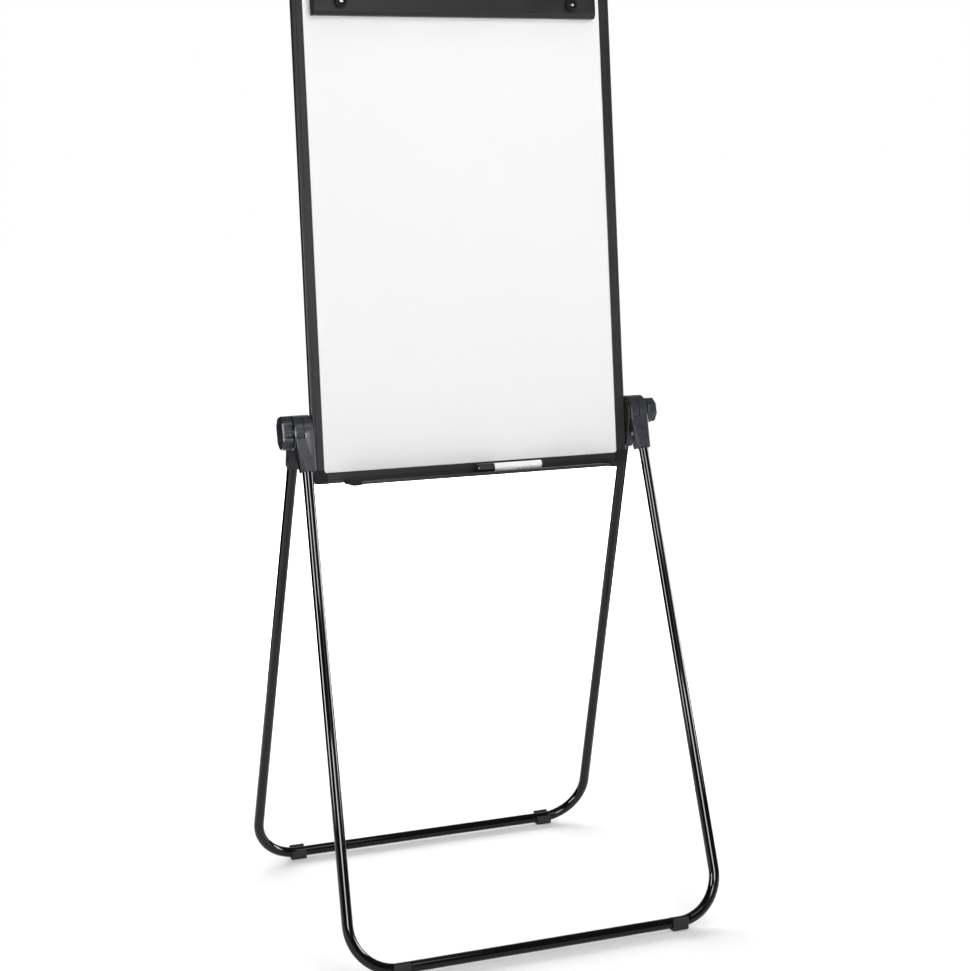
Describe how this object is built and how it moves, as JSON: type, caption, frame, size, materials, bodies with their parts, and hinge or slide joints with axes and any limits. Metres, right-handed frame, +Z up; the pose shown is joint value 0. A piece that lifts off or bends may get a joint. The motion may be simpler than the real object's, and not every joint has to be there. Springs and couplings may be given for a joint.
{
  "type": "dry-erase easel",
  "caption": "Folding presentation easel: a framed two-sided dry-erase board with pad clamp bar and marker tray, hinged between bent-tube legs locked by side knobs.",
  "frame": {"origin": "on the floor under the pivot axis, midway between the legs and between the sides", "axes": "+Z up, -Y towards the person at the front of the board, +X to that person's right"},
  "size_m": [0.7736, 0.6942, 1.8112],
  "materials": {
    "tube_paint": "gloss black enamel on steel tube",
    "frame_black": "black satin extrusion",
    "moulding_black": "satin moulded nylon",
    "knob_black": "fine-grained moulding",
    "foot_rubber": "soft moulded rubber",
    "white_melamine": "glossy dry-erase laminate",
    "core_board": "fibreboard",
    "zinc_steel": "bright zinc plate",
    "black_steel": "black powder coat",
    "brass_bush": "turned brass",
    "marker_white": "glossy moulding",
    "marker_black": "glossy moulding",
    "marker_felt": "inked felt"
  },
  "bodies": {
    "front_leg": {"front_leg_tube": "tube_paint", "front_socket_rivets": "zinc_steel", "front_left_socket": "moulding_black", "front_left_foot": "foot_rubber", "front_right_socket": "moulding_black", "front_right_foot": "foot_rubber"},
    "rear_leg": {"rear_leg_tube": "tube_paint", "rear_socket_rivets": "zinc_steel", "rear_left_socket": "moulding_black", "rear_left_foot": "foot_rubber", "rear_right_socket": "moulding_black", "rear_right_foot": "foot_rubber"},
    "board": {"board_core": "core_board", "front_writing_sheet": "white_melamine", "back_writing_sheet": "white_melamine", "left_rail": "frame_black", "right_rail": "frame_black", "top_rail": "frame_black", "bottom_rail": "frame_black", "bracket_screws": "zinc_steel", "tray_screws": "zinc_steel", "marker_tray": "frame_black", "pad_studs": "zinc_steel", "lower_left_corner": "moulding_black", "lower_right_corner": "moulding_black", "upper_left_corner": "moulding_black", "upper_right_corner": "moulding_black", "left_bracket": "black_steel", "left_pivot_stud": "zinc_steel", "left_friction_washer": "moulding_black", "left_clamp_washer": "zinc_steel", "left_tray_end": "moulding_black", "right_bracket": "black_steel", "right_pivot_stud": "zinc_steel", "right_friction_washer": "moulding_black", "right_clamp_washer": "zinc_steel", "right_tray_end": "moulding_black"},
    "left_knob": {"left_knob": "knob_black", "left_knob_insert": "brass_bush"},
    "right_knob": {"right_knob": "knob_black", "right_knob_insert": "brass_bush"},
    "pad_clamp": {"pad_bar": "frame_black", "left_bar_end": "moulding_black", "right_bar_end": "moulding_black"},
    "left_thumb_nut": {"left_thumb_nut": "knob_black"},
    "right_thumb_nut": {"right_thumb_nut": "knob_black"},
    "marker": {"marker_barrel": "marker_white", "marker_nib": "marker_felt", "marker_plug": "marker_black"},
    "marker_cap": {"marker_cap": "marker_black"}
  },
  "joints": [
    {"name": "leg_fold", "type": "hinge", "parent": "front_leg", "child": "rear_leg", "pos_m": [0, 0, 0.9582], "axis": [-1, 0, 0], "range_deg": [-25, 36.4]},
    {"name": "board_tilt", "type": "hinge", "parent": "front_leg", "child": "board", "pos_m": [0, 0, 0.9582], "axis": [-1, 0, 0], "range_deg": [-166, 85]},
    {"name": "left_knob_turn", "type": "hinge", "parent": "board", "child": "left_knob", "pos_m": [-0.37, 0, 0.9582], "axis": [-1, 0, 0], "range_deg": [0, 360]},
    {"name": "right_knob_turn", "type": "hinge", "parent": "board", "child": "right_knob", "pos_m": [0.37, 0, 0.9582], "axis": [1, 0, 0], "range_deg": [0, 360]},
    {"name": "pad_clamp_slide", "type": "slide", "parent": "board", "child": "pad_clamp", "axis": [0, -0.9963, 0.0858], "range_m": [0, 0.01]},
    {"name": "left_nut_turn", "type": "hinge", "parent": "pad_clamp", "child": "left_thumb_nut", "pos_m": [-0.236, 0.03954, 1.76729], "axis": [0, -0.9963, 0.0858], "range_deg": [0, 360]},
    {"name": "right_nut_turn", "type": "hinge", "parent": "pad_clamp", "child": "right_thumb_nut", "pos_m": [0.236, 0.03954, 1.76729], "axis": [0, -0.9963, 0.0858], "range_deg": [0, 360]},
    {"name": "marker_lift", "type": "slide", "parent": "board", "child": "marker", "axis": [0, 0.0858, 0.9963], "range_m": [0, 0.12]},
    {"name": "cap_pull", "type": "slide", "parent": "marker", "child": "marker_cap", "axis": [-1, 0, 0], "range_m": [0, 0.04]}
  ]
}
